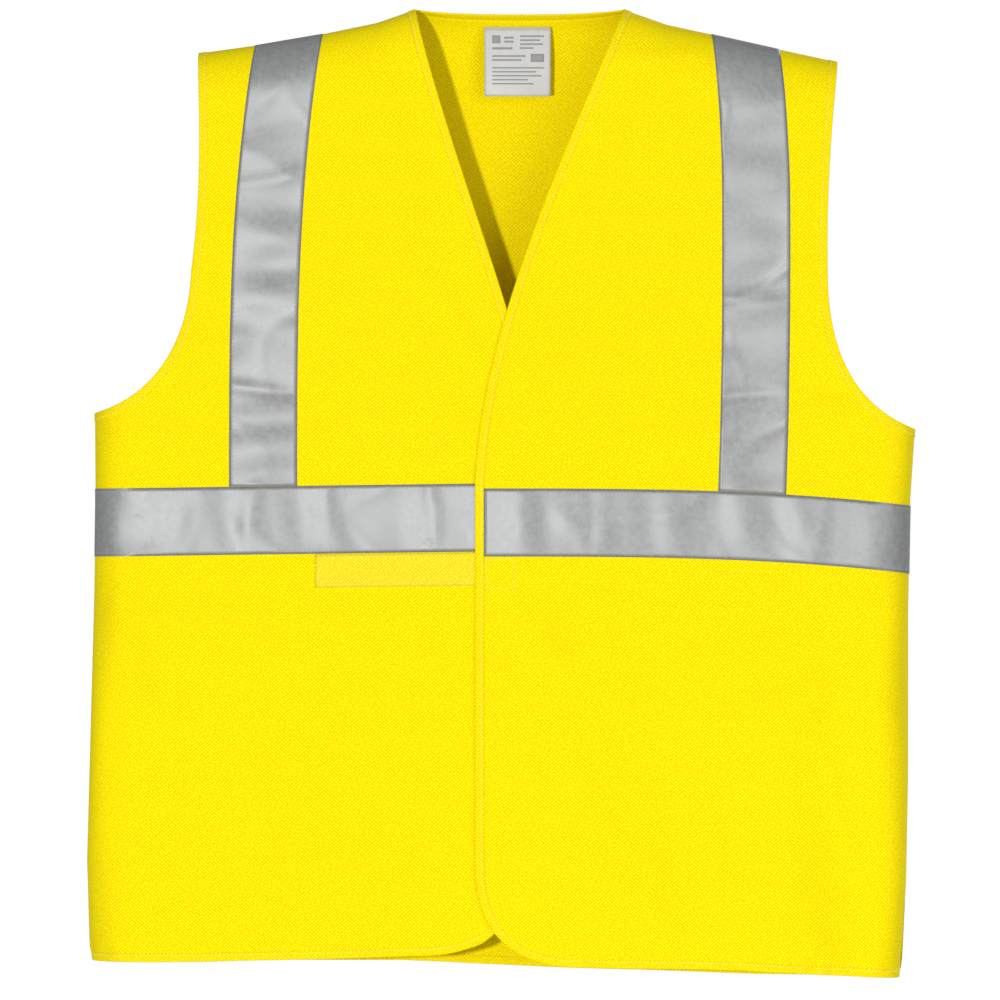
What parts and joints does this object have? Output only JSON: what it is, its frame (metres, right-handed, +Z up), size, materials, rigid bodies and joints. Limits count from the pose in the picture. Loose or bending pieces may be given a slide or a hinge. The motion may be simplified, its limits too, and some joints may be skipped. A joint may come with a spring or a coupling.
{
  "type": "high visibility vest",
  "caption": "Sleeveless front-opening warning vest in fluorescent yellow knit, with reflective waist tape and braces, bound edges, touch fastener and a care label.",
  "frame": {"origin": "between the two shoulder seams, at the height of their neck ends", "axes": "+Z up, -Y out of the front, +X towards the wearer's left"},
  "size_m": [0.6255, 0.0648, 0.7285],
  "materials": {
    "yellow_knit": "matte warp knit",
    "reflective_tape": "satin, glass-bead retro-reflective",
    "binding": "woven binding",
    "touch_fastener": "napped",
    "label_fabric": "satin",
    "thread": "twisted thread"
  },
  "bodies": {
    "vest_body": {"back_panel": "yellow_knit", "right_front_panel": "yellow_knit", "left_front_panel": "yellow_knit", "back_waist_tape": "reflective_tape", "right_waist_tape": "reflective_tape", "left_waist_tape": "reflective_tape", "right_brace_tape": "reflective_tape", "left_brace_tape": "reflective_tape", "right_armhole_binding": "binding", "left_armhole_binding": "binding", "neck_binding": "binding", "back_hem_binding": "binding", "right_hem_binding": "binding", "left_hem_binding": "binding", "right_shoulder_seam": "binding", "left_shoulder_seam": "binding", "right_side_seam": "binding", "left_side_seam": "binding", "back_waist_thread": "thread", "right_waist_thread": "thread", "left_waist_thread": "thread", "right_brace_thread": "thread", "left_brace_thread": "thread", "label_thread": "label_fabric"},
    "under_flap": {"right_front_flap": "yellow_knit", "right_flap_waist_tape": "reflective_tape", "right_flap_binding": "binding", "loop_strip": "touch_fastener", "right_flap_waist_thread": "thread", "loop_thread": "thread"},
    "over_flap": {"left_front_flap": "yellow_knit", "left_flap_waist_tape": "reflective_tape", "left_flap_binding": "binding", "hook_strip": "touch_fastener", "left_flap_waist_thread": "thread", "hook_thread": "thread"},
    "label": {"care_label": "label_fabric"}
  },
  "joints": [
    {"name": "over_flap_fold", "type": "hinge", "parent": "vest_body", "child": "over_flap", "pos_m": [0.0799, -0.034, 0], "axis": [-0.1602, 0, 0.9871], "range_deg": [0, 160]},
    {"name": "under_flap_fold", "type": "hinge", "parent": "vest_body", "child": "under_flap", "pos_m": [-0.0608, -0.034, 0], "axis": [-0.2118, 0, -0.9773], "range_deg": [0, 128]},
    {"name": "label_flip", "type": "hinge", "parent": "vest_body", "child": "label", "pos_m": [0.008, 0.01475, -0.0116], "axis": [-1, 0, 0], "range_deg": [0, 150]}
  ],
  "couplings": [
    {"joint": "under_flap_fold", "follows": "over_flap_fold", "ratio": 0.8}
  ]
}
